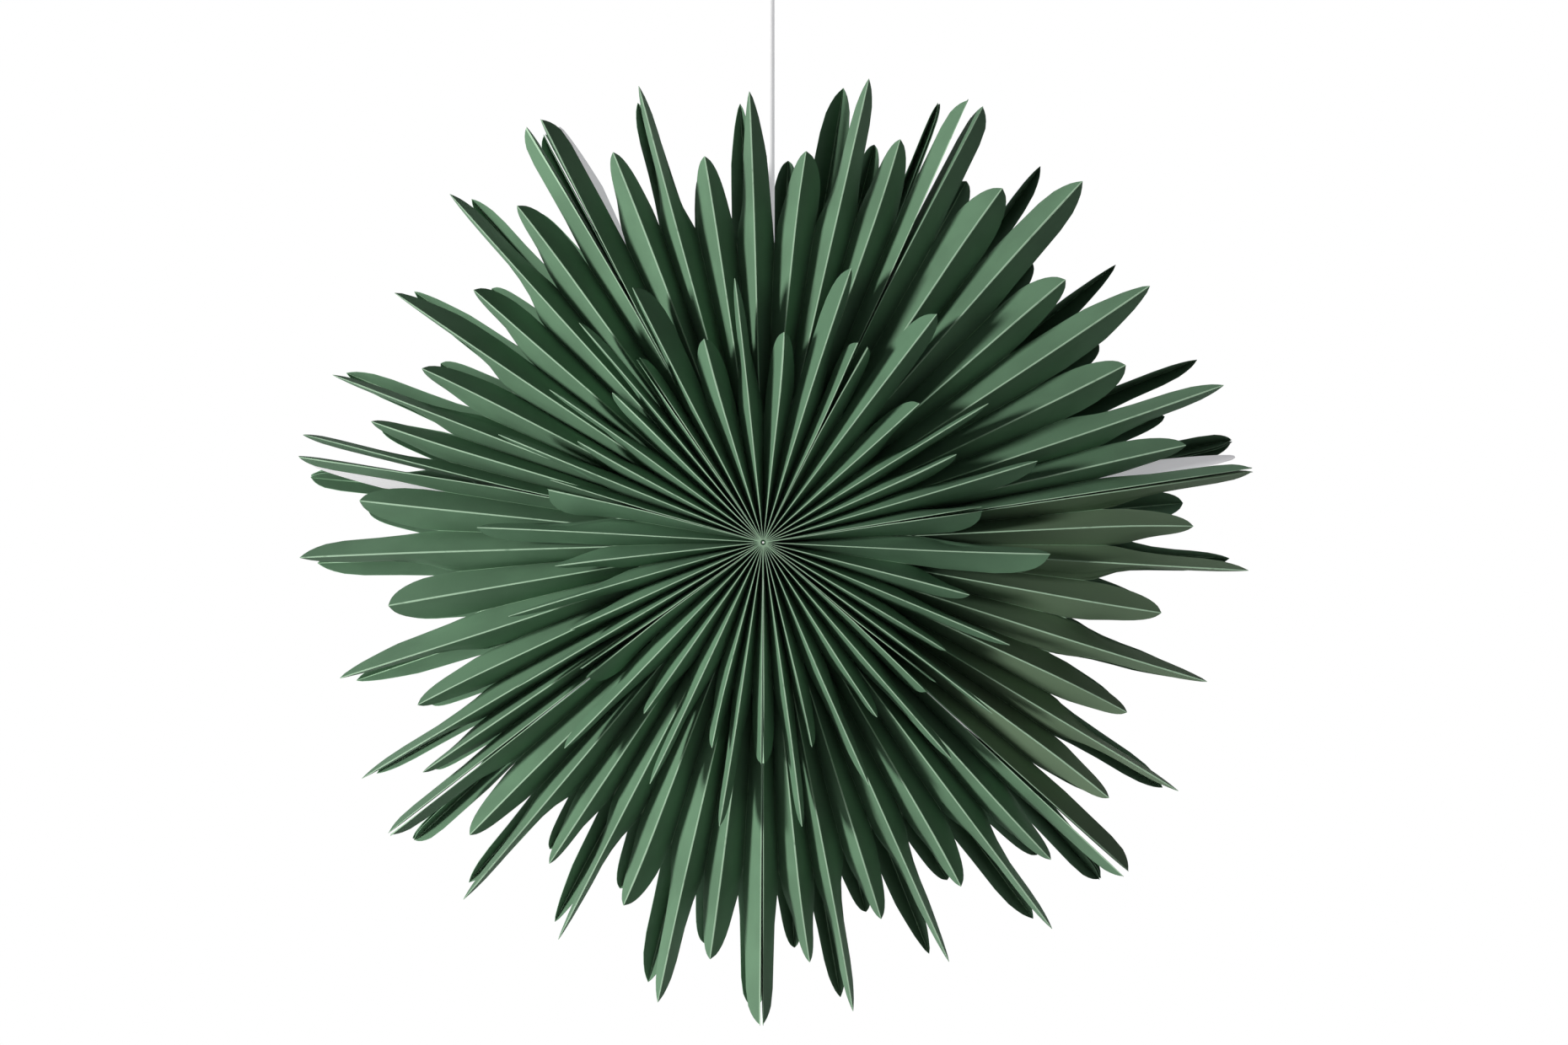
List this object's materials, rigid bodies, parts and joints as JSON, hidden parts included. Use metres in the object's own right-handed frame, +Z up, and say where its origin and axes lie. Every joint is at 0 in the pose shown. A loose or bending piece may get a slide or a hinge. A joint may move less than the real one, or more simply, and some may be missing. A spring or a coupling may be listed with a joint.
{
  "type": "paper star lamp",
  "caption": "Hanging pendant lamp with a star shade of pleated green paper cut into petals, on a white cord with a ceiling cup.",
  "frame": {"origin": "centre of the ceiling cup's rim, where it meets the ceiling", "axes": "+Z up along the cord, -Y the way the star faces, +X to the right seen from the front"},
  "size_m": [0.602, 0.1506, 0.705],
  "materials": {
    "green_paper": "matt green card, finely grained",
    "green_fan_paper": "matt green card, finely grained",
    "white_card": "matt white card",
    "pad_tape": "greyish looped tape",
    "core_paper": "rolled dark green paper",
    "pin_steel": "bright steel pin",
    "carrier_card": "stiff white card",
    "white_plastic": "moulded white plastic",
    "opal_glass": "opal white glass bulb",
    "white_cord": "smooth white cord sheath",
    "cup_metal": "white enamelled metal",
    "bracket_steel": "zinc plated steel"
  },
  "bodies": {
    "root": {"unit_1": "green_paper", "unit_2": "green_paper", "unit_3": "green_paper", "unit_4": "green_paper", "unit_5": "green_paper", "unit_6": "green_paper", "unit_7": "green_paper", "front_fan_1": "green_fan_paper", "front_fan_2": "green_fan_paper", "front_fan_3": "green_fan_paper", "front_fan_4": "green_fan_paper", "front_fan_5": "green_fan_paper", "front_fan_6": "green_fan_paper", "front_fan_7": "green_fan_paper", "rear_fan_1": "green_fan_paper", "rear_fan_2": "green_fan_paper", "rear_fan_3": "green_fan_paper", "rear_fan_4": "green_fan_paper", "rear_fan_5": "green_fan_paper", "rear_fan_6": "green_fan_paper", "rear_fan_7": "green_fan_paper", "seam_card_1": "white_card", "seam_card_2": "white_card", "seam_card_3": "white_card", "seam_card_4": "white_card", "seam_card_5": "white_card", "seam_card_6": "white_card", "seam_card_7": "white_card", "closing_pads": "pad_tape", "hub_core": "core_paper", "hub_pins": "pin_steel", "lamp_carrier": "carrier_card", "lamp_holder": "white_plastic", "shade_ring": "white_plastic", "holder_grip": "white_plastic", "bulb": "opal_glass", "cord": "white_cord", "cup_grip": "white_plastic", "ceiling_cup": "cup_metal", "ceiling_bracket": "bracket_steel", "cup_screws": "pin_steel"}
  },
  "joints": []
}
